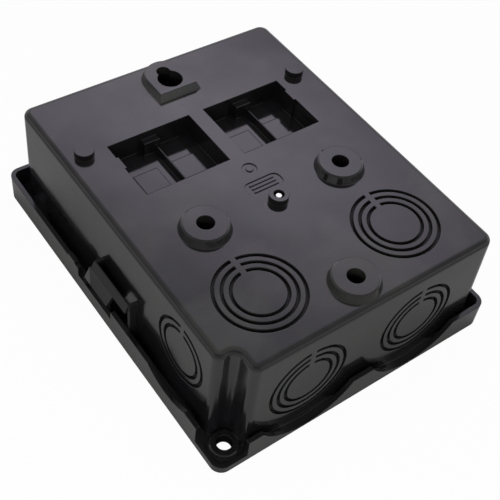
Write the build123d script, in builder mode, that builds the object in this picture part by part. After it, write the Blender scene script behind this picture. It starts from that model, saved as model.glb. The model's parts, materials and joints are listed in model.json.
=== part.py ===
"""Back moulding of a small electrical enclosure: a drafted box with a trough and lip round its rim.

It rests on its rim with the back plate up.
Frame: X across, Y along the longer sides, Z up, origin at the middle of the rim's underside.
Units: millimetres.
"""

from build123d import *
from math import atan2, cos, degrees, radians, sin, tan
import os

# ---- Rim: trough floor and outer lip ----
RIM_WIDTH = 123.2
RIM_LENGTH = 152.4
RIM_CORNER_RADIUS = 4.5
TROUGH_FLOOR_THICKNESS = 2.6
LIP_THICKNESS = 1.8
LIP_HEIGHT = 11.2
LOW_LIP_HEIGHT = 3.1

# ---- Box ----
BOX_HEIGHT = 48.0
SIDE_TROUGH = 5.6
FRONT_TROUGH = 4.1
BACK_TROUGH = 7.5
WALL = 2.5
PLATE_THICKNESS = 2.6
DRAFT_ANGLE = 1.0
BOX_CORNER_RADIUS = 4.0
PLATE_EDGE_RADIUS = 2.4
EDGE_BREAK = 0.4

# ---- Screw corner: notch in the box over a ringed hole ----
CORNER_HOLE_RADIUS = 2.8
CORNER_HOLE_INSET = 7.6
CORNER_RING_RADIUS = 5.3
CORNER_RING_HEIGHT = 2.0
NOTCH_CLEARANCE_X = 5.4
NOTCH_CLEARANCE_Y = 6.3
NOTCH_CORNER_RADIUS = 2.8
NOTCH_CUSP_RADIUS = 3.0
LOW_LIP_REACH_X = 4.4
LOW_LIP_REACH_Y = 6.4

# ---- Wall-mounting bosses ----
BOSS_HEIGHT = 3.0
BOSS_TOP_RADIUS = 8.3
BOSS_BASE_RADIUS = 9.5
BOSS_HOLE_RADIUS = 3.25
SIDE_BOSS_X = 29.6
SIDE_BOSS_Y = -14.2
FRONT_BOSS_INSET = 11.3

# ---- Pegs and the metal stud ----
PEG_HEIGHT = 2.7
PEG_RADIUS = 3.65
SIDE_PEG_INSET = 8.6
SIDE_PEG_Y = 37.3
CENTRE_PEG_X = 0.3
CENTRE_PEG_Y = -15.9
STUD_HOLE_RADIUS = 2.0
STUD_HOLE_DEPTH = 2.8
STUD_RADIUS = 1.3
STUD_SUNK = 0.6
STUD_EDGE_RADIUS = 0.4

# ---- Keyhole pad ----
PAD_HEIGHT = 3.0
PAD_HALF_WIDTH = 8.0
PAD_FRONT_INSET = 21.4
PAD_ARC_INSET = 11.8
PAD_FLARE = 1.4
KEYHOLE_HEAD_RADIUS = 4.9
KEYHOLE_HEAD_INSET = 15.1
KEYHOLE_SLOT_RADIUS = 2.75
KEYHOLE_SLOT_INSET = 10.2

# ---- Plaque and round mark: shallow recesses, both left plain ----
MARK_DEPTH = 0.35
PLAQUE_WIDTH = 15.2
PLAQUE_LENGTH = 6.4
PLAQUE_CORNER_RADIUS = 2.6
PLAQUE_Y = -7.3
PLAQUE_BAR_WIDTH = 10.5
PLAQUE_BAR_LENGTH = 0.6
PLAQUE_BAR_PITCH = 1.7
PLAQUE_BAR_COUNT = 3
ROUND_MARK_RADIUS = 2.8
ROUND_MARK_CORE_RADIUS = 1.4
ROUND_MARK_Y = 1.75

# ---- Pockets in the plate ----
POCKET_WIDTH = 35.2
POCKET_LENGTH = 27.8
POCKET_DEPTH = 9.0
POCKET_CENTRE_X = 20.8
POCKET_CENTRE_Y = 23.0
POCKET_WALL = 1.8
POCKET_TAB_LENGTH = 6.0
POCKET_TAB_DEPTH = 0.8
POCKET_TAB_Y = 4.2
POCKET_BLOCK_WIDTH = 6.8
POCKET_BLOCK_LENGTH = 2.7
POCKET_BLOCK_DROP = 3.4
POCKET_RIB_THICKNESS = 1.0
POCKET_RIB_HEIGHT = 3.5
POCKET_RIB_TAPER = 4.0
POCKET_RIB_OFFSET = 1.5
POCKET_STEP_SIZE = 10.2
POCKET_STEP_HEIGHT = 0.5
POCKET_STEP_SPACING = 8.1
POCKET_STEP_Y = -2.0

# ---- Knockouts: rings of groove, each left joined by one bridge ----
KNOCKOUT_RADII = (16.25, 13.25, 10.25)
SIDE_KNOCKOUT_RADII = (13.25, 10.25)
GROOVE_WIDTH = 1.3
GROOVE_DEPTH = 1.6
BRIDGE_WIDTH = 2.2
PLATE_KNOCKOUT_X = 29.45
PLATE_KNOCKOUT_INSET = 24.2
FRONT_KNOCKOUT_X = 24.25
FRONT_KNOCKOUT_Z = 23.8
SIDE_KNOCKOUT_Y = -41.5
SIDE_KNOCKOUT_Z = 28.9
FRONT_SCALLOP_RADIUS = 23.2
SIDE_SCALLOP_RADIUS = 21.2

# ---- Catch on the left side: a bar and a leaning panel held off the wall by two ribs ----
CATCH_BACK_Y = 10.2
CATCH_FRONT_Y = -14.4
CATCH_TOP_Z = 24.2
CATCH_BAR_HEIGHT = 3.7
CATCH_BAR_SLOPE = 1.4
CATCH_THICKNESS = 1.9
CATCH_SETBACK = 0.7
CATCH_RIB_THICKNESS = 1.4
CATCH_PANEL_TOP_FRONT_Y = -4.9
CATCH_PANEL_TOP_BACK_Y = 11.3
CATCH_PANEL_LEAN = 5.0
CATCH_PANEL_FOOT_Z = 9.2
CATCH_LEDGE_Z = 7.0
CATCH_LEDGE_BACK_Y = 19.6
CATCH_LEDGE_FRONT_Y = -4.4
CATCH_BAR_INSET = 1.0
LIP_NUB_Y = 24.5
LIP_NUB_LENGTH = 5.0
LIP_NUB_HEIGHT = 1.0

# ---- Sizes worked out from those above ----
PLATE_TOP = BOX_HEIGHT
BOX_WIDTH = RIM_WIDTH - 2 * SIDE_TROUGH
BOX_LENGTH = RIM_LENGTH - FRONT_TROUGH - BACK_TROUGH
BOX_OFFSET_Y = (FRONT_TROUGH - BACK_TROUGH) / 2
FRONT_BOSS_Y = FRONT_BOSS_INSET - BOX_LENGTH / 2
PLATE_KNOCKOUT_Y = PLATE_KNOCKOUT_INSET - BOX_LENGTH / 2
SIDE_PEG_X = BOX_WIDTH / 2 - SIDE_PEG_INSET
PAD_FRONT_Y = BOX_LENGTH / 2 - PAD_FRONT_INSET
PAD_ARC_Y = BOX_LENGTH / 2 - PAD_ARC_INSET
KEYHOLE_HEAD_Y = BOX_LENGTH / 2 - KEYHOLE_HEAD_INSET
KEYHOLE_SLOT_Y = BOX_LENGTH / 2 - KEYHOLE_SLOT_INSET
DRAFT_SLOPE = tan(radians(DRAFT_ANGLE))
CORNER_HOLE_X = CORNER_HOLE_INSET - RIM_WIDTH / 2
CORNER_HOLE_Y = CORNER_HOLE_INSET - RIM_LENGTH / 2
NOTCH_X = CORNER_HOLE_X + NOTCH_CLEARANCE_X
NOTCH_Y = CORNER_HOLE_Y + NOTCH_CLEARANCE_Y
POCKET_FLOOR = PLATE_TOP - POCKET_DEPTH
CORNER_HOLE_TOP = TROUGH_FLOOR_THICKNESS + CORNER_RING_HEIGHT
FRONT_WALL_FOOT = BOX_LENGTH / 2 + BOX_HEIGHT * DRAFT_SLOPE - BOX_OFFSET_Y
LEFT_WALL_FOOT = BOX_WIDTH / 2 + BOX_HEIGHT * DRAFT_SLOPE
PLATE_UNDERSIDE = PLATE_TOP - PLATE_THICKNESS
PEG_TOP = PLATE_TOP + PEG_HEIGHT
BOSS_TOP = PLATE_TOP + BOSS_HEIGHT
PAD_TOP = PLATE_TOP + PAD_HEIGHT
OVERCUT = 1.0
TO_MIDDLE = Axis((0, 0, 0), (1, 1, 0))
STANDING = (Align.CENTER, Align.CENTER, Align.MIN)
TOWARDS_CORNER = (Align.MAX, Align.MAX)
CATCH_OUTER_X = CATCH_SETBACK - RIM_WIDTH / 2
CATCH_BACK = CATCH_BACK_Y + BOX_OFFSET_Y
CATCH_FRONT = CATCH_FRONT_Y + BOX_OFFSET_Y
CATCH_PANEL_FRONT = CATCH_PANEL_TOP_FRONT_Y + BOX_OFFSET_Y
CATCH_PANEL_BACK = CATCH_PANEL_TOP_BACK_Y + BOX_OFFSET_Y
CATCH_BAR_FOOT = CATCH_TOP_Z - CATCH_BAR_HEIGHT


def box_half_width(z):
    """Half the box's width at a height, with the draft."""
    return BOX_WIDTH / 2 + (BOX_HEIGHT - z) * DRAFT_SLOPE


def box_half_length(z):
    """Half the box's length at a height, with the draft."""
    return BOX_LENGTH / 2 + (BOX_HEIGHT - z) * DRAFT_SLOPE


def on_box(x, y):
    """A point given from the middle of the box, in the part's frame."""
    return (x, y + BOX_OFFSET_Y)


def front_wall_plane(x, z):
    """A plane on the outside of the front wall, facing outwards, with the draft."""
    y = BOX_OFFSET_Y - box_half_length(z)
    lean = radians(DRAFT_ANGLE)
    return Plane(origin=(x, y, z), x_dir=(1, 0, 0), z_dir=(0, -cos(lean), sin(lean)))


def left_wall_plane(y, z):
    """A plane on the outside of the left wall, facing outwards, with the draft."""
    x = -box_half_width(z)
    lean = radians(DRAFT_ANGLE)
    return Plane(origin=(x, y + BOX_OFFSET_Y, z), x_dir=(0, -1, 0), z_dir=(-cos(lean), 0, sin(lean)))


def knockout_rings(radii):
    """Rings of groove about the sketch's origin, crossed by one bridge on the local Y side."""
    for radius in radii:
        Circle(radius)
        Circle(radius - GROOVE_WIDTH, mode=Mode.SUBTRACT)
    with Locations((0, max(radii))):
        Rectangle(BRIDGE_WIDTH, 2 * (max(radii) - min(radii)) + 4 * GROOVE_WIDTH, mode=Mode.SUBTRACT)


# ---- Cavity: the hollow inside the box, one wall in from its outline all round ----
with BuildPart() as cavity:
    with BuildSketch():
        with Locations(on_box(0, 0)):
            RectangleRounded(
                2 * (box_half_width(0) - WALL),
                2 * (box_half_length(0) - WALL),
                BOX_CORNER_RADIUS,
            )
    extrude(amount=PLATE_UNDERSIDE, taper=DRAFT_ANGLE)
    with BuildSketch(Plane.XY.offset(PLATE_TOP)):
        with Locations((NOTCH_X + WALL, NOTCH_Y + WALL)):
            RectangleRounded(BOX_WIDTH, BOX_LENGTH, NOTCH_CORNER_RADIUS + WALL, align=TOWARDS_CORNER)
    extrude(amount=-PLATE_TOP, taper=DRAFT_ANGLE, mode=Mode.SUBTRACT)

# ---- Housing: one moulding ----
with BuildPart() as housing:
    # Drafted box, growing towards the rim.
    with BuildSketch(Plane.XY.offset(PLATE_TOP)):
        with Locations(on_box(0, 0)):
            RectangleRounded(BOX_WIDTH, BOX_LENGTH, BOX_CORNER_RADIUS)
    extrude(amount=-BOX_HEIGHT, taper=-DRAFT_ANGLE)

    # Notch over the screw corner, its two outer edges rounded, then the whole edge of the plate.
    with BuildSketch(Plane.XY.offset(PLATE_TOP)):
        with Locations((NOTCH_X, NOTCH_Y)):
            RectangleRounded(BOX_WIDTH, BOX_LENGTH, NOTCH_CORNER_RADIUS, align=TOWARDS_CORNER)
    extrude(amount=-PLATE_TOP, taper=DRAFT_ANGLE, mode=Mode.SUBTRACT)
    upright_edges = housing.edges().filter_by_position(Axis.Z, LIP_HEIGHT, PLATE_UNDERSIDE)
    fillet(upright_edges.sort_by(TO_MIDDLE)[:2], radius=NOTCH_CUSP_RADIUS)
    fillet(housing.faces().sort_by(Axis.Z)[-1].edges(), radius=PLATE_EDGE_RADIUS)

    # Trough floor and the lip that stands round its edge.
    with BuildSketch():
        RectangleRounded(RIM_WIDTH, RIM_LENGTH, RIM_CORNER_RADIUS)
    extrude(amount=TROUGH_FLOOR_THICKNESS)
    with BuildSketch():
        RectangleRounded(RIM_WIDTH, RIM_LENGTH, RIM_CORNER_RADIUS)
        RectangleRounded(
            RIM_WIDTH - 2 * LIP_THICKNESS,
            RIM_LENGTH - 2 * LIP_THICKNESS,
            RIM_CORNER_RADIUS - LIP_THICKNESS,
            mode=Mode.SUBTRACT,
        )
    extrude(amount=LIP_HEIGHT)
    add(cavity.part, mode=Mode.SUBTRACT)

    # Round clearances through the lip in front of the wall knockouts.
    with BuildSketch(Plane.XZ.offset(FRONT_WALL_FOOT)):
        with Locations((-FRONT_KNOCKOUT_X, FRONT_KNOCKOUT_Z), (FRONT_KNOCKOUT_X, FRONT_KNOCKOUT_Z)):
            Circle(FRONT_SCALLOP_RADIUS)
    extrude(amount=RIM_LENGTH / 2 - FRONT_WALL_FOOT + OVERCUT, mode=Mode.SUBTRACT)
    with BuildSketch(Plane.YZ.offset(-LEFT_WALL_FOOT)):
        with Locations((SIDE_KNOCKOUT_Y + BOX_OFFSET_Y, SIDE_KNOCKOUT_Z)):
            Circle(SIDE_SCALLOP_RADIUS)
    extrude(amount=LEFT_WALL_FOOT - RIM_WIDTH / 2 - OVERCUT, mode=Mode.SUBTRACT)

    # Lip cut low round the screw corner.
    with BuildSketch(Plane.XY.offset(LOW_LIP_HEIGHT)):
        with Locations((CORNER_HOLE_X + LOW_LIP_REACH_X, CORNER_HOLE_Y + LOW_LIP_REACH_Y)):
            Rectangle(RIM_WIDTH / 2, RIM_LENGTH / 2, align=TOWARDS_CORNER)
        with Locations(on_box(0, 0)):
            Rectangle(2 * LEFT_WALL_FOOT, 2 * box_half_length(0), mode=Mode.SUBTRACT)
    extrude(amount=LIP_HEIGHT, mode=Mode.SUBTRACT)

    # Ringed screw hole in the corner of the trough.
    with Locations((CORNER_HOLE_X, CORNER_HOLE_Y, 0)):
        Cylinder(CORNER_RING_RADIUS, CORNER_HOLE_TOP - EDGE_BREAK, align=STANDING)
    with Locations((CORNER_HOLE_X, CORNER_HOLE_Y, CORNER_HOLE_TOP - EDGE_BREAK)):
        Cone(CORNER_RING_RADIUS, CORNER_RING_RADIUS - EDGE_BREAK, EDGE_BREAK, align=STANDING)
    with Locations((CORNER_HOLE_X, CORNER_HOLE_Y, CORNER_HOLE_TOP)):
        Hole(CORNER_HOLE_RADIUS, depth=CORNER_HOLE_TOP)

    # Two pockets in the plate, each with a tab, a back block, a dividing rib and two raised squares.
    for side in (-1, 1):
        pocket_x = side * POCKET_CENTRE_X
        with BuildSketch(Plane.XY.offset(POCKET_FLOOR - POCKET_WALL)):
            with Locations(on_box(pocket_x, POCKET_CENTRE_Y)):
                Rectangle(POCKET_WIDTH + 2 * POCKET_WALL, POCKET_LENGTH + 2 * POCKET_WALL)
        extrude(amount=POCKET_WALL + POCKET_DEPTH - PLATE_THICKNESS / 2)
        with BuildSketch(Plane.XY.offset(POCKET_FLOOR)):
            with Locations(on_box(pocket_x, POCKET_CENTRE_Y)):
                Rectangle(POCKET_WIDTH, POCKET_LENGTH)
            with Locations(on_box(pocket_x + side * POCKET_WIDTH / 2, POCKET_CENTRE_Y + POCKET_TAB_Y)):
                Rectangle(2 * POCKET_TAB_DEPTH, POCKET_TAB_LENGTH, mode=Mode.SUBTRACT)
        extrude(amount=POCKET_DEPTH, mode=Mode.SUBTRACT)
        with BuildSketch(Plane.XY.offset(POCKET_FLOOR)):
            with Locations(on_box(pocket_x, POCKET_CENTRE_Y + POCKET_LENGTH / 2)):
                Rectangle(POCKET_BLOCK_WIDTH, POCKET_BLOCK_LENGTH, align=(Align.CENTER, Align.MAX))
        extrude(amount=POCKET_DEPTH - POCKET_BLOCK_DROP)
        with BuildSketch(Plane.XY.offset(POCKET_FLOOR)):
            with Locations(on_box(pocket_x + POCKET_RIB_OFFSET, POCKET_CENTRE_Y)):
                Rectangle(POCKET_RIB_THICKNESS, POCKET_LENGTH)
        extrude(amount=POCKET_RIB_HEIGHT, taper=POCKET_RIB_TAPER)
        with BuildSketch(Plane.XY.offset(POCKET_FLOOR)):
            with Locations(on_box(pocket_x, POCKET_CENTRE_Y + POCKET_STEP_Y)):
                with GridLocations(2 * POCKET_STEP_SPACING, 0, 2, 1):
                    Rectangle(POCKET_STEP_SIZE, POCKET_STEP_SIZE)
        extrude(amount=POCKET_STEP_HEIGHT)

    # Three tapered bosses with clearance holes for wall screws.
    boss_spots = (
        on_box(-SIDE_BOSS_X, SIDE_BOSS_Y),
        on_box(SIDE_BOSS_X, SIDE_BOSS_Y),
        on_box(0, FRONT_BOSS_Y),
    )
    for x, y in boss_spots:
        with Locations((x, y, PLATE_TOP)):
            Cone(BOSS_BASE_RADIUS, BOSS_TOP_RADIUS, BOSS_HEIGHT, align=STANDING)
    chamfer(housing.faces().filter_by_position(Axis.Z, BOSS_TOP, BOSS_TOP).edges(), length=EDGE_BREAK)
    for x, y in boss_spots:
        with Locations((x, y, BOSS_TOP)):
            Hole(BOSS_HOLE_RADIUS, depth=BOSS_HEIGHT + PLATE_THICKNESS)

    # Three round pegs; the middle one is holed, and holds the stud in a narrower seat below.
    peg_spots = (
        on_box(-SIDE_PEG_X, SIDE_PEG_Y),
        on_box(SIDE_PEG_X, SIDE_PEG_Y),
        on_box(CENTRE_PEG_X, CENTRE_PEG_Y),
    )
    for x, y in peg_spots:
        with Locations((x, y, PLATE_TOP)):
            Cylinder(PEG_RADIUS, PEG_HEIGHT, align=STANDING)
    with Locations((*on_box(CENTRE_PEG_X, CENTRE_PEG_Y), PEG_TOP)):
        Hole(STUD_HOLE_RADIUS, depth=STUD_HOLE_DEPTH)
        Hole(STUD_RADIUS, depth=PEG_HEIGHT + PLATE_THICKNESS)

    # Raised pad near the back edge, with a keyhole through it and the plate.
    with BuildSketch(Plane.XY.offset(PAD_TOP)):
        with Locations(on_box(0, PAD_FRONT_Y)):
            Rectangle(2 * PAD_HALF_WIDTH, PAD_ARC_Y - PAD_FRONT_Y, align=(Align.CENTER, Align.MIN))
        with Locations(on_box(0, PAD_ARC_Y)):
            Circle(PAD_HALF_WIDTH)
    extrude(amount=-PAD_HEIGHT, taper=-degrees(atan2(PAD_FLARE, PAD_HEIGHT)))
    with BuildSketch(Plane.XY.offset(PLATE_UNDERSIDE)):
        with Locations(on_box(0, KEYHOLE_HEAD_Y)):
            Circle(KEYHOLE_HEAD_RADIUS)
        with Locations(on_box(0, KEYHOLE_SLOT_Y)):
            Circle(KEYHOLE_SLOT_RADIUS)
            Rectangle(
                2 * KEYHOLE_SLOT_RADIUS,
                KEYHOLE_SLOT_Y - KEYHOLE_HEAD_Y,
                align=(Align.CENTER, Align.MAX),
            )
    extrude(amount=PLATE_THICKNESS + PAD_HEIGHT, mode=Mode.SUBTRACT)

    # Plaque recess with two plain raised bars, and a round recess with a raised core.
    with BuildSketch(Plane.XY.offset(PLATE_TOP)):
        with Locations(on_box(CENTRE_PEG_X, PLAQUE_Y)):
            RectangleRounded(PLAQUE_WIDTH, PLAQUE_LENGTH, PLAQUE_CORNER_RADIUS)
            with GridLocations(0, PLAQUE_BAR_PITCH, 1, PLAQUE_BAR_COUNT):
                Rectangle(PLAQUE_BAR_WIDTH, PLAQUE_BAR_LENGTH, mode=Mode.SUBTRACT)
        with Locations(on_box(CENTRE_PEG_X, ROUND_MARK_Y)):
            Circle(ROUND_MARK_RADIUS)
            Circle(ROUND_MARK_CORE_RADIUS, mode=Mode.SUBTRACT)
    extrude(amount=-MARK_DEPTH, mode=Mode.SUBTRACT)

    # Knockout ring grooves on the plate, the front wall and the left wall.
    for side in (-1, 1):
        with BuildSketch(Plane(origin=(*on_box(side * PLATE_KNOCKOUT_X, PLATE_KNOCKOUT_Y), PLATE_TOP))):
            knockout_rings(KNOCKOUT_RADII)
        extrude(amount=-GROOVE_DEPTH, mode=Mode.SUBTRACT)
        with BuildSketch(front_wall_plane(side * FRONT_KNOCKOUT_X, FRONT_KNOCKOUT_Z)):
            knockout_rings(KNOCKOUT_RADII)
        extrude(amount=-GROOVE_DEPTH, mode=Mode.SUBTRACT)
    with BuildSketch(left_wall_plane(SIDE_KNOCKOUT_Y, SIDE_KNOCKOUT_Z)):
        knockout_rings(SIDE_KNOCKOUT_RADII)
    extrude(amount=-GROOVE_DEPTH, mode=Mode.SUBTRACT)

    # Lip cut down to a ledge in front of the catch, and a small nub on the lip behind it.
    with BuildSketch(Plane.XY.offset(CATCH_LEDGE_Z)):
        with Locations((-RIM_WIDTH / 2, CATCH_LEDGE_FRONT_Y + BOX_OFFSET_Y)):
            Rectangle(LIP_THICKNESS, CATCH_LEDGE_BACK_Y - CATCH_LEDGE_FRONT_Y, align=(Align.MIN, Align.MIN))
    extrude(amount=LIP_HEIGHT, mode=Mode.SUBTRACT)
    with BuildSketch(Plane.XY.offset(LIP_HEIGHT)):
        with Locations((-(RIM_WIDTH - LIP_THICKNESS) / 2, LIP_NUB_Y + BOX_OFFSET_Y)):
            Rectangle(LIP_THICKNESS, LIP_NUB_LENGTH)
    extrude(amount=LIP_NUB_HEIGHT)

    # Catch web, set behind the panel, standing on the trough floor.
    with BuildSketch(Plane.XY.offset(TROUGH_FLOOR_THICKNESS / 2)):
        with Locations((CATCH_OUTER_X + CATCH_BAR_SLOPE, CATCH_PANEL_FRONT + CATCH_PANEL_LEAN)):
            Rectangle(
                CATCH_THICKNESS - CATCH_BAR_SLOPE,
                CATCH_PANEL_BACK - CATCH_PANEL_FRONT,
                align=(Align.MIN, Align.MIN),
            )
    extrude(amount=CATCH_PANEL_FOOT_Z)

    # Catch panel, leaning backwards on its way down.
    with BuildSketch(Plane.YZ.offset(CATCH_OUTER_X)):
        with BuildLine():
            Polyline(
                (CATCH_PANEL_FRONT, CATCH_BAR_FOOT),
                (CATCH_PANEL_BACK, CATCH_BAR_FOOT),
                (CATCH_PANEL_BACK + CATCH_PANEL_LEAN, CATCH_PANEL_FOOT_Z),
                (CATCH_PANEL_FRONT + CATCH_PANEL_LEAN, CATCH_PANEL_FOOT_Z),
                close=True,
            )
        make_face()
    extrude(amount=CATCH_THICKNESS)

    # Catch bar, its outer face sloping inwards to the top.
    with BuildSketch(Plane.XZ.offset(-CATCH_BACK)):
        with BuildLine():
            Polyline(
                (CATCH_OUTER_X, CATCH_BAR_FOOT),
                (CATCH_OUTER_X + CATCH_BAR_SLOPE, CATCH_TOP_Z),
                (CATCH_OUTER_X + CATCH_THICKNESS, CATCH_TOP_Z),
                (CATCH_OUTER_X + CATCH_THICKNESS, CATCH_BAR_FOOT),
                close=True,
            )
        make_face()
    extrude(amount=CATCH_BACK - CATCH_FRONT - CATCH_BAR_INSET)

    # Ribs from the catch to the box wall, standing on the trough floor.
    for rib_y in (CATCH_FRONT, CATCH_BACK - CATCH_RIB_THICKNESS):
        with BuildSketch(Plane.XY.offset(TROUGH_FLOOR_THICKNESS / 2)):
            with Locations((CATCH_OUTER_X + CATCH_BAR_SLOPE, rib_y)):
                Rectangle(
                    WALL / 2 - LEFT_WALL_FOOT - CATCH_OUTER_X - CATCH_BAR_SLOPE,
                    CATCH_RIB_THICKNESS,
                    align=(Align.MIN, Align.MIN),
                )
        extrude(amount=CATCH_TOP_Z - TROUGH_FLOOR_THICKNESS / 2)
housing.part.label = "housing"

# ---- Stud: a round metal pin in the middle peg ----
with BuildPart() as centre_stud:
    with Locations((*on_box(CENTRE_PEG_X, CENTRE_PEG_Y), PLATE_UNDERSIDE)):
        Cylinder(
            STUD_RADIUS,
            PEG_TOP - STUD_SUNK - PLATE_UNDERSIDE,
            align=STANDING,
        )
    fillet(centre_stud.edges().sort_by(Axis.Z)[-1], radius=STUD_EDGE_RADIUS)
centre_stud.part.label = "centre_stud"

os.makedirs("parts", exist_ok=True)
export_step(housing.part, "parts/housing.step")
export_step(centre_stud.part, "parts/centre_stud.step")
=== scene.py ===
# %% [markdown]
# # Back housing of a small electrical enclosure, in glossy black plastic
# The shape is already finished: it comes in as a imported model, one mesh per moulded or turned piece.
# What is left for Blender is what the eye judges first, which is the surface, the light and the view.
# The first cell loads the pieces. Everything is in metres, with Z up and the housing standing on Z = 0.

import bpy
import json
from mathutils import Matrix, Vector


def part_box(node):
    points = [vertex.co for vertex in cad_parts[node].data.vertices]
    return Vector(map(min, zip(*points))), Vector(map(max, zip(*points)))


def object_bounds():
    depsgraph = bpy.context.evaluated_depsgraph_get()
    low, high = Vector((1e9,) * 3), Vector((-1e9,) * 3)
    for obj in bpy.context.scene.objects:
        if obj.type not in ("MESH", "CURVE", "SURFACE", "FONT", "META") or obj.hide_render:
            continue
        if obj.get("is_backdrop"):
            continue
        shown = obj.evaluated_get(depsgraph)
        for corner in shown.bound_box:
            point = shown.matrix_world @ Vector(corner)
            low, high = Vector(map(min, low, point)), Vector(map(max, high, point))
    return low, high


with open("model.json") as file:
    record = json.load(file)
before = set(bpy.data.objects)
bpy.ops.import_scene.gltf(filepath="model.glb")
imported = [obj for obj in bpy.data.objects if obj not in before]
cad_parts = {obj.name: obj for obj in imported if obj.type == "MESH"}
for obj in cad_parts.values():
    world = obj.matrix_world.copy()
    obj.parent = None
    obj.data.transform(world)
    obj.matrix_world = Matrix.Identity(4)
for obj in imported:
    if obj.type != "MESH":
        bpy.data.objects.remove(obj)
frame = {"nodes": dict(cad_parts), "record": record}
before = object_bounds()
print("pieces:", sorted(frame["nodes"]))
print("size in mm:", [round(1000 * (high - low), 1) for low, high in zip(*before)])

# %% [markdown]
# ## Places by name
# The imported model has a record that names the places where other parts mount, such as the screw holes,
# the pockets and the knockouts. Some finishes below belong to one of these places only. Their numbers
# could be typed in again, but a finish that looks them up by name follows the model when it changes.

# %% Names used in the cells below
import json
import math

import bmesh
import bpy
from mathutils import Matrix, Vector

MM = 0.001
scene = bpy.context.scene
scene.view_settings.view_transform = "Standard"
mounts = {mount["name"]: mount for mount in frame["record"]["mounts"]}
print("view transform:", scene.view_settings.view_transform)
print("named places:", sorted(mounts))

# %% [markdown]
# ## The camera
# A product view like this one is taken with a longish lens from above one corner, so that three sides
# show and the upright edges converge only a little. The camera could be aimed with a Track To constraint,
# but a matrix built from its own right, up and backward directions says the same thing in one line, and
# nothing has to be evaluated first. The shift moves the picture on the film without turning the camera.

# %% Camera
CAMERA_PLACE = Vector((-0.15907, -0.18699, 0.28944))
CAMERA_RIGHT = Vector((0.806613, -0.582463, 0.100561))
CAMERA_DOWN = Vector((-0.388905, -0.651098, -0.651785))
CAMERA_FORWARD = Vector((0.445116, 0.486629, -0.751707))
SENSOR_WIDTH_MM = 36.0
FOCAL_LENGTH_MM = 68.158
SHIFT_X = -0.02488
SHIFT_Y = -0.01735
NEAREST = 0.01
FARTHEST = 20.0

lens = bpy.data.cameras.new("view_camera")
lens.sensor_width = SENSOR_WIDTH_MM
lens.lens = FOCAL_LENGTH_MM
lens.shift_x = SHIFT_X
lens.shift_y = SHIFT_Y
lens.clip_start = NEAREST
lens.clip_end = FARTHEST
camera = bpy.data.objects.new("view_camera", lens)
scene.collection.objects.link(camera)
turn = Matrix((CAMERA_RIGHT, -CAMERA_DOWN, -CAMERA_FORWARD)).transposed()
camera.matrix_world = Matrix.Translation(CAMERA_PLACE) @ turn.to_4x4()
scene.camera = camera
print("camera stands", round(CAMERA_PLACE.z / MM), "mm above the floor")

# %% [markdown]
# ## Helpers for node materials
# A node material is a small graph. It can be drawn by hand in the shader editor, but written out it can
# be read, changed and made again. These helpers keep the cells below readable: they add a node with its
# plain values, join two sockets, and give a loaded piece its finish. A value that is the same all over
# the surface is set directly on the shader's own socket, so that it survives an export.


# %% Node helpers
def new_material(name):
    """A material with an empty graph, and its Principled shader."""
    material = bpy.data.materials.new(name)
    material.use_nodes = True
    graph = material.node_tree
    graph.nodes.clear()
    output = graph.nodes.new("ShaderNodeOutputMaterial")
    shader = graph.nodes.new("ShaderNodeBsdfPrincipled")
    graph.links.new(shader.outputs["BSDF"], output.inputs["Surface"])
    return material, graph, shader


def add_node(graph, kind, **values):
    """Add a node; a value goes to the input socket of that name, or else to the node's own property."""
    node = graph.nodes.new(kind)
    for name, value in values.items():
        socket = node.inputs.get(name.replace("_", " "))
        if socket is not None:
            socket.default_value = value
        else:
            setattr(node, name, value)
    return node


def join(graph, start, start_socket, end, end_socket):
    """Link an output socket to an input socket."""
    graph.links.new(start.outputs[start_socket], end.inputs[end_socket])


def put_material(piece, material):
    """Give a loaded piece a new finish; its mesh is left alone."""
    for material_slot in piece.material_slots:
        material_slot.material = material
    print(piece.name, "wears", material.name)


# %% [markdown]
# ## Helpers for patterns
# A finish varies from place to place by sums on patterns. A noise texture gives soft random patches, Map
# Range stretches them to the values that are wanted, and a Bump node tilts the surface's normal by them,
# which catches the light like real relief without changing the shape. The patterns read Object
# coordinates, so they are fixed to the piece and keep their real size.


# %% Pattern helpers
def number(graph, operation, *terms):
    """Do one sum on plain numbers or on other nodes' outputs, and give its output."""
    node = add_node(graph, "ShaderNodeMath", operation=operation)
    for place, term in enumerate(terms):
        if isinstance(term, (int, float)):
            node.inputs[place].default_value = term
        else:
            graph.links.new(term, node.inputs[place])
    return node.outputs[0]


def noise(graph, place, **values):
    """A noise pattern fixed to the piece; its scale is in patches per metre."""
    node = add_node(graph, "ShaderNodeTexNoise", **values)
    join(graph, place, "Object", node, "Vector")
    return node


def remap(graph, value, start, end, low, high, curve="LINEAR"):
    """Stretch the range from start to end over the range from low to high."""
    node = add_node(graph, "ShaderNodeMapRange", interpolation_type=curve)
    for name, setting in zip(("From Min", "From Max", "To Min", "To Max"), (start, end, low, high)):
        node.inputs[name].default_value = setting
    graph.links.new(value, node.inputs["Value"])
    return node.outputs["Result"]


def bumped(graph, pattern, strength, distance):
    """A Bump node that a pattern drives."""
    node = add_node(graph, "ShaderNodeBump", Strength=strength, Distance=distance)
    join(graph, pattern, "Fac", node, "Height")
    return node


# %% [markdown]
# ## Glossy black plastic: the colour
# A polished mould leaves a plastic part nearly mirror smooth, so on a black part almost everything that
# is seen is a reflection: the pale table in the upright walls, and a long lamp in the flat back. The
# colour itself stays very dark. The broad back is what gets handled, so a faint pale haze lies over it in
# soft blotches. It could be painted on an image, but noise needs no image and has no seams.

# %% Plastic colour
HOUSING_COLOUR = (0.0075, 0.0073, 0.0082, 1.0)
HOUSING_IOR = 1.50
HAZE_COLOUR = (0.021, 0.0213, 0.0185, 1.0)
HAZE_PER_METRE = 32.0
HAZE_STARTS = 0.46
HAZE_FULL = 0.66
GROOVE_STARTS = 0.0004
PLATE_TOP = mounts["left_pocket"]["pos_m"][2]
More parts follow.
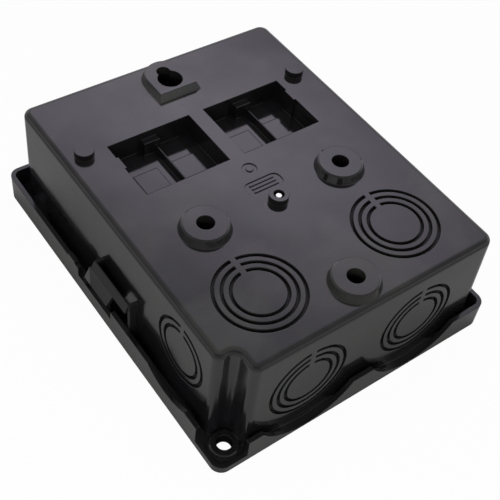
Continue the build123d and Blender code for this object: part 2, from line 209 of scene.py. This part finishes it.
# A Mix node has sockets for every kind of data, and these are the ones for colours.
FIRST_COLOUR, SECOND_COLOUR, MIXED_COLOUR = 6, 7, 2

plastic, graph, shader = new_material("glossy_black_plastic")
shader.inputs["IOR"].default_value = HOUSING_IOR
place = add_node(graph, "ShaderNodeTexCoord")
along = add_node(graph, "ShaderNodeSeparateXYZ")
join(graph, place, "Object", along, "Vector")

haze = noise(graph, place, Scale=HAZE_PER_METRE, Detail=4.0, Roughness=0.55, Distortion=0.4)
haze_here = remap(graph, haze.outputs["Fac"], HAZE_STARTS, HAZE_FULL, 0.0, 1.0)
on_plate = number(graph, "GREATER_THAN", along.outputs["Z"], PLATE_TOP - GROOVE_STARTS)
hazy_colour = add_node(graph, "ShaderNodeMix", data_type="RGBA")
graph.links.new(number(graph, "MULTIPLY", haze_here, on_plate), hazy_colour.inputs["Factor"])
hazy_colour.inputs[FIRST_COLOUR].default_value = HOUSING_COLOUR
hazy_colour.inputs[SECOND_COLOUR].default_value = HAZE_COLOUR
join(graph, hazy_colour, MIXED_COLOUR, shader, "Base Color")
print("haze above Z =", round((PLATE_TOP - GROOVE_STARTS) / MM, 1), "mm")

# %% [markdown]
# ## Glossy black plastic: where it is duller
# Knockouts are discs that can be pressed out where a cable enters, and ring grooves mark them off. In the
# mould each groove is a thin standing rib, which is hard to polish, so the grooves come out dull, and so
# do the small faces of the catch. Ambient Occlusion could find such hollows, but it is noisy and it also
# dulls every corner. These helpers say by plain sums which points lie in a groove or inside a box.


# %% Helpers for regions
def within(graph, along, low, high):
    """One inside a box given by its lowest and highest corner, and nought outside."""
    inside = 1.0
    for name, lowest, highest in zip("XYZ", low, high):
        above = number(graph, "GREATER_THAN", along.outputs[name], lowest)
        below = number(graph, "LESS_THAN", along.outputs[name], highest)
        inside = number(graph, "MULTIPLY", number(graph, "MULTIPLY", inside, above), below)
    return inside


def in_grooves_near(graph, place, centre, outward, reach):
    """One where the surface lies deeper than a wall does, within reach of a point on it, else nought."""
    from_centre = add_node(graph, "ShaderNodeVectorMath", operation="SUBTRACT")
    join(graph, place, "Object", from_centre, 0)
    from_centre.inputs[1].default_value = centre
    height = add_node(graph, "ShaderNodeVectorMath", operation="DOT_PRODUCT")
    join(graph, from_centre, "Vector", height, 0)
    height.inputs[1].default_value = outward
    distance = add_node(graph, "ShaderNodeVectorMath", operation="LENGTH")
    join(graph, from_centre, "Vector", distance, 0)
    sunk = number(graph, "LESS_THAN", height.outputs["Value"], -GROOVE_STARTS)
    near = number(graph, "LESS_THAN", distance.outputs["Value"], reach)
    return number(graph, "MULTIPLY", sunk, near)


def duller(graph, roughness, share, dull):
    """Give a region its own roughness; the share is one inside it and nought outside."""
    node = add_node(graph, "ShaderNodeMix", B=dull)
    graph.links.new(share, node.inputs["Factor"])
    graph.links.new(roughness, node.inputs["A"])
    return node.outputs["Result"]


# %% Plastic gloss
GLOSS_ROUGHNESS_LOW = 0.08
GLOSS_ROUGHNESS_HIGH = 0.20
RUBBING_PER_METRE = 28.0
RUBBING_STARTS = 0.35
RUBBING_FULL = 0.75
GROOVE_ROUGHNESS = 0.65
THREE_RINGS_REACH = 0.0165
TWO_RINGS_REACH = 0.0135
CATCH_ROUGHNESS = 0.60
CATCH_LOW = (-0.0612, -0.0165, 0.006)
CATCH_HIGH = (-0.0568, 0.0100, 0.025)

rubbing = noise(graph, place, Scale=RUBBING_PER_METRE, Detail=5.0, Roughness=0.6)
roughness = remap(
    graph, rubbing.outputs["Fac"], RUBBING_STARTS, RUBBING_FULL, GLOSS_ROUGHNESS_LOW, GLOSS_ROUGHNESS_HIGH
)
knockouts = {name: mount for name, mount in mounts.items() if "knockout" in name}
in_grooves = 0.0
for name, mount in knockouts.items():
    reach = TWO_RINGS_REACH if name == "side_knockout" else THREE_RINGS_REACH
    near_this = in_grooves_near(graph, place, mount["pos_m"], mount["axis"], reach)
    in_grooves = number(graph, "ADD", in_grooves, near_this)
roughness = duller(graph, roughness, in_grooves, GROOVE_ROUGHNESS)
roughness = duller(graph, roughness, within(graph, along, CATCH_LOW, CATCH_HIGH), CATCH_ROUGHNESS)
graph.links.new(roughness, shader.inputs["Roughness"])
print("dull grooves at", sorted(knockouts))

# %% [markdown]
# ## Glossy black plastic: edges, waves and grain
# No moulded edge is quite sharp. A Bevel modifier would round the edges, but it would also change the
# mesh, so the shader's Bevel node bends the light there instead, a little wider in the corners of the
# pockets. What makes the walls look moulded, not like enamel, is small and slow: a faint waviness where
# they shrank while cooling, and over it a very fine grain.

# %% Plastic surface
SOFT_EDGE = 0.0003
SOFT_POCKET_CORNER = 0.0005
BEVEL_SAMPLES = 8
POCKETS_REACH = Vector((0.0192, 0.0175, 0.018))
POCKETS_BELOW_PLATE = Vector((0.0, 0.0, 0.0195))
WAVES_PER_METRE = 45.0
WAVE_STRENGTH = 0.30
WAVE_HEIGHT = 0.0006
GRAINS_PER_METRE = 2200.0
GRAIN_STRENGTH = 0.04
GRAIN_HEIGHT = 0.00005

pockets_low = Vector(mounts["left_pocket"]["pos_m"]) - POCKETS_REACH
pockets_high = Vector(mounts["right_pocket"]["pos_m"]) + POCKETS_REACH - POCKETS_BELOW_PLATE
in_pockets = within(graph, along, pockets_low, pockets_high)
soft_edges = add_node(graph, "ShaderNodeBevel", samples=BEVEL_SAMPLES)
softness = number(graph, "MULTIPLY_ADD", in_pockets, SOFT_POCKET_CORNER - SOFT_EDGE, SOFT_EDGE)
graph.links.new(softness, soft_edges.inputs["Radius"])
waves = noise(graph, place, Scale=WAVES_PER_METRE, Detail=1.0)
wavy = bumped(graph, waves, WAVE_STRENGTH, WAVE_HEIGHT)
join(graph, soft_edges, "Normal", wavy, "Normal")
grain = noise(graph, place, Scale=GRAINS_PER_METRE, Detail=2.0)
grainy = bumped(graph, grain, GRAIN_STRENGTH, GRAIN_HEIGHT)
join(graph, wavy, "Normal", grainy, "Normal")
join(graph, grainy, "Normal", shader, "Normal")
put_material(frame["nodes"]["housing"], plastic)

# %% [markdown]
# ## Turned steel
# The stud in the middle peg is a small bright metal pin. Turning leaves fine rings on its end, which a
# wave texture in ring form gives, centred on the pin by a Mapping node.

# %% Stud finish
STEEL_COLOUR = (0.86, 0.86, 0.85, 1.0)
STEEL_ROUGHNESS_LOW = 0.22
STEEL_ROUGHNESS_HIGH = 0.36
RING_SCALE = 1200.0
RING_STRENGTH = 0.12
RING_HEIGHT = 0.00002

stud_low, stud_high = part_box("centre_stud")
stud_middle = (stud_low + stud_high) / 2

steel, graph, shader = new_material("turned_bright_steel")
shader.inputs["Base Color"].default_value = STEEL_COLOUR
shader.inputs["Metallic"].default_value = 1.0
place = add_node(graph, "ShaderNodeTexCoord")
centring = add_node(graph, "ShaderNodeMapping", Location=(-stud_middle.x, -stud_middle.y, 0.0))
join(graph, place, "Object", centring, "Vector")
rings = add_node(
    graph, "ShaderNodeTexWave", wave_type="RINGS", rings_direction="Z", Scale=RING_SCALE, Distortion=0.6
)
join(graph, centring, "Vector", rings, "Vector")
join(graph, bumped(graph, rings, RING_STRENGTH, RING_HEIGHT), "Normal", shader, "Normal")
ring_gloss = remap(graph, rings.outputs["Fac"], 0.0, 1.0, STEEL_ROUGHNESS_LOW, STEEL_ROUGHNESS_HIGH)
graph.links.new(ring_gloss, shader.inputs["Roughness"])
put_material(frame["nodes"]["centre_stud"], steel)
print("stud is", round((stud_high.x - stud_low.x) / MM, 1), "mm across")

# %% [markdown]
# ## The table
# A grid from bmesh is enough for a table. It belongs to the stage, so it is never counted as a piece of
# the housing.

# %% Table
TABLE_REACH = 3.0
TABLE_DIVISIONS = 4

shape = bmesh.new()
bmesh.ops.create_grid(shape, x_segments=TABLE_DIVISIONS, y_segments=TABLE_DIVISIONS, size=TABLE_REACH)
table_mesh = bpy.data.meshes.new("table")
shape.to_mesh(table_mesh)
shape.free()
table = bpy.data.objects.new("table", table_mesh)
scene.collection.objects.link(table)
table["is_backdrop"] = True
print("table reaches", TABLE_REACH, "m")

# %% [markdown]
# ## The table's paper
# A black glossy part needs a pale table, because its walls mirror it. A white table lit to pure white
# would take so much light that the plastic turns grey, so the table glows for the camera only: Light
# Path tells those rays from the ones that carry light between surfaces. A small share of the plain paper
# still shows through the glow, and with it a trace of the shadow. Under the housing the paper is painted
# near black: this is painted shade, standing in for the shade inside a closed box, so that the screw holes
# look black and their walls mirror nothing. The painted shade stops short of the rim, and the part that
# never glows stops short of the ringed corner hole, which stands outside the box and shows the white table.


# %% Helpers for the paper
def mix(graph, share, first, second):
    """Blend two shaders; a share of one gives the second."""
    node = add_node(graph, "ShaderNodeMixShader")
    graph.links.new(share, node.inputs[0])
    graph.links.new(first.outputs[0], node.inputs[1])
    graph.links.new(second.outputs[0], node.inputs[2])
    return node


def inside_rectangle(graph, along, half_width, half_length):
    """One inside a rectangle about the origin, and nought outside."""
    in_x = number(graph, "LESS_THAN", number(graph, "ABSOLUTE", along.outputs["X"]), half_width)
    in_y = number(graph, "LESS_THAN", number(graph, "ABSOLUTE", along.outputs["Y"]), half_length)
    return number(graph, "MULTIPLY", in_x, in_y)


# %% Table paper
TABLE_PALE = (0.535, 0.54, 0.525, 1.0)
# Painted shade: this near-black paper colour under the housing stands in for the shade inside the closed
# box.
PAINTED_SHADE_UNDER_HOUSING = (0.004, 0.004, 0.004, 1.0)
WHITE = (1.0, 1.0, 1.0, 1.0)
GLOW_SHARE = 0.97
PAINTED_SHADE_INSIDE_RIM = 0.0026
NO_GLOW_INSIDE_RIM_X = 0.0116
NO_GLOW_INSIDE_RIM_Y = 0.0122

rim_x, rim_y = before[1][0], before[1][1]
paper = bpy.data.materials.new("paper_with_painted_shade")
paper.use_nodes = True
graph = paper.node_tree
graph.nodes.clear()
output = add_node(graph, "ShaderNodeOutputMaterial")
lit_paper = add_node(graph, "ShaderNodeBsdfDiffuse", Color=TABLE_PALE)
# The near-black diffuse paper is painted shade for the table inside the housing.
painted_shade_paper = add_node(graph, "ShaderNodeBsdfDiffuse", Color=PAINTED_SHADE_UNDER_HOUSING)
glow = add_node(graph, "ShaderNodeEmission", Color=WHITE)
ray = add_node(graph, "ShaderNodeLightPath")
place = add_node(graph, "ShaderNodeTexCoord")
along = add_node(graph, "ShaderNodeSeparateXYZ")
join(graph, place, "Object", along, "Vector")

# Painted shade mask: one under the housing, up to a little inside the rim, and nought outside.
painted_shade_under_rim = inside_rectangle(graph, along, rim_x - PAINTED_SHADE_INSIDE_RIM, rim_y - PAINTED_SHADE_INSIDE_RIM)
under_cavity = inside_rectangle(graph, along, rim_x - NO_GLOW_INSIDE_RIM_X, rim_y - NO_GLOW_INSIDE_RIM_Y)
glow_here = number(graph, "SUBTRACT", 1.0, under_cavity)
seen = number(graph, "MULTIPLY", ray.outputs["Is Camera Ray"], glow_here)
# The plain paper gives way to its painted shade under the housing.
paper_with_painted_shade = mix(graph, painted_shade_under_rim, lit_paper, painted_shade_paper)
table_seen = mix(graph, number(graph, "MULTIPLY", seen, GLOW_SHARE), paper_with_painted_shade, glow)
graph.links.new(table_seen.outputs[0], output.inputs["Surface"])
table.data.materials.append(paper)
print("dark paper is", round(2 * (rim_x - PAINTED_SHADE_INSIDE_RIM) / MM, 1), "mm wide")

# %% [markdown]
# ## The light
# The part stands in a dim tent, lit through its back wall by a long strip lamp that the flat back mirrors
# towards the eye. The lamp's glow has no edge, so the mirror image is a slow gradient and not a bright
# rectangle. All of it is in the world's own graph: a sum on the direction looked in gives the strength
# there, with no lamp to place or to hide. The first cell has the sums: how far the direction goes along
# another one, and a bell curve, which has no edge anywhere.

# %% World helpers
world = bpy.data.worlds.new("tent")
scene.world = world
world.use_nodes = True
graph = world.node_tree
graph.nodes.clear()
output = add_node(graph, "ShaderNodeOutputWorld")
sight = add_node(graph, "ShaderNodeTexCoord")


def along_direction(direction):
    """How far the direction looked in goes along another one."""
    node = add_node(graph, "ShaderNodeVectorMath", operation="DOT_PRODUCT")
    graph.links.new(sight.outputs["Generated"], node.inputs[0])
    node.inputs[1].default_value = direction
    return node.outputs["Value"]


def bell(value, middle, spread):
    """A bell curve of height one about a middle value."""
    offset = number(graph, "DIVIDE", number(graph, "SUBTRACT", value, middle), spread)
    squared = number(graph, "MULTIPLY", offset, offset)
    return number(graph, "EXPONENT", number(graph, "MULTIPLY", squared, -0.5))


def background(colour, strength):
    """A background of one colour; the strength is a number or an output."""
    node = add_node(graph, "ShaderNodeBackground", Color=colour)
    if isinstance(strength, float):
        node.inputs["Strength"].default_value = strength
    else:
        graph.links.new(strength, node.inputs["Strength"])
    return node


# %% [markdown]
# ## The tent
# The tent's walls are dim on the eye's side and a little brighter all round, with a glow along the
# horizon that fades out higher up. A dim tent is what draws the rounded edges of a glossy part, as their
# surface turns away from the lamp.

# %% Tent
TENT_BEHIND_EYE = 0.20
TENT_ROUND = 0.42
BEHIND_EYE_ENDS = -0.8
ROUND_STARTS = -0.25
HORIZON_GLOW = 0.50
HORIZON_FADES_OUT = 0.62
STRIP_AZIMUTH = math.radians(47.0)

away_from_eye = along_direction((math.cos(STRIP_AZIMUTH), math.sin(STRIP_AZIMUTH), 0.0))
upwards = along_direction((0.0, 0.0, 1.0))
horizon = remap(graph, upwards, 0.0, HORIZON_FADES_OUT, HORIZON_GLOW, 0.0, "SMOOTHSTEP")
walls = remap(
    graph, away_from_eye, BEHIND_EYE_ENDS, ROUND_STARTS, TENT_BEHIND_EYE, TENT_ROUND, "SMOOTHSTEP"
)
tent = background(WHITE, number(graph, "ADD", walls, horizon))
print("tent strength from", TENT_BEHIND_EYE, "to", TENT_ROUND + HORIZON_GLOW)

# %% [markdown]
# ## The strip lamp
# The lamp is one bell curve on the height of the direction looked in, with a slight lean, times another
# one along the strip. Round it lies an even halo, the light that a lamp throws on the cloth of a tent.
# Both fade in on the far side only. For the camera's own rays all this gives way to a plain white
# backdrop of strength one.

# %% Strip lamp and backdrop
STRIP_LEAN = (-0.139, 0.093, 1.0)
STRIP_HEIGHT = 0.670
STRIP_SPREAD = 0.062
STRIP_SIDE = -0.071
STRIP_HALF_LENGTH = 0.19
STRIP_STRENGTH = 1.53
HALO_STRENGTH = 0.28
STRIP_COLOUR = (1.02, 0.94, 1.16, 1.0)
FAR_SIDE_STARTS = 0.15
FAR_SIDE_FULL = 0.60

sideways = along_direction((math.sin(STRIP_AZIMUTH), -math.cos(STRIP_AZIMUTH), 0.0))
in_height = bell(along_direction(STRIP_LEAN), STRIP_HEIGHT, STRIP_SPREAD)
in_length = bell(sideways, STRIP_SIDE, STRIP_HALF_LENGTH)
facing = remap(graph, away_from_eye, FAR_SIDE_STARTS, FAR_SIDE_FULL, 0.0, 1.0, "SMOOTHSTEP")
lamp = number(graph, "MULTIPLY", number(graph, "MULTIPLY", in_height, in_length), STRIP_STRENGTH)
strength = number(graph, "ADD", lamp, HALO_STRENGTH)
strip = background(STRIP_COLOUR, number(graph, "MULTIPLY", facing, strength))
lit_tent = add_node(graph, "ShaderNodeAddShader")
graph.links.new(tent.outputs[0], lit_tent.inputs[0])
graph.links.new(strip.outputs[0], lit_tent.inputs[1])
ray = add_node(graph, "ShaderNodeLightPath")
backdrop = mix(graph, ray.outputs["Is Camera Ray"], lit_tent, background(WHITE, 1.0))
graph.links.new(backdrop.outputs[0], output.inputs["Surface"])
print("strip lamp strength at its middle:", round(STRIP_STRENGTH + HALO_STRENGTH, 2))

# %% [markdown]
# ## Two softboxes for the table
# What the upright walls and the lip mirror is the strip of table right beside them, so these two lamps
# are there to light the table, one from overhead and one from the near corner. Area lamps are the usual
# choice for soft light. A glossy part would show each lamp as a bright spot in its rounded flute, so
# both are hidden from mirrored rays and from the camera.


# %% Softboxes
def add_softbox(name, place, aim, side, power):
    """A square white lamp at a place, turned to face a point; its side is in metres, its power in watts."""
    lamp = bpy.data.lights.new(name, "AREA")
    lamp.shape = "SQUARE"
    lamp.size = side
    lamp.energy = power
    holder = bpy.data.objects.new(name, lamp)
    scene.collection.objects.link(holder)
    direction = Vector(aim) - Vector(place)
    holder.rotation_euler = direction.to_track_quat("-Z", "Y").to_euler()
    holder.location = place
    holder.visible_glossy = False
    holder.visible_camera = False
    print(name, "at", place, "with", power, "W")


add_softbox("overhead_softbox", place=(0.06, 0.045, 0.43), aim=(-0.07, -0.08, 0.0), side=0.18, power=0.5)
add_softbox("corner_softbox", place=(-0.20, -0.20, 0.17), aim=(-0.07, -0.09, 0.0), side=0.13, power=0.35)

# %% [markdown]
# ## Last step
# The size with and without the finish is written down, to show that nothing has grown or moved.

# %% Sizes and end
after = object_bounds()
moved = [max(abs(a - b) for a, b in zip(*corners)) for corners in zip(before, after)]
print("corners moved by", [round(distance / MM, 3) for distance in moved], "mm")
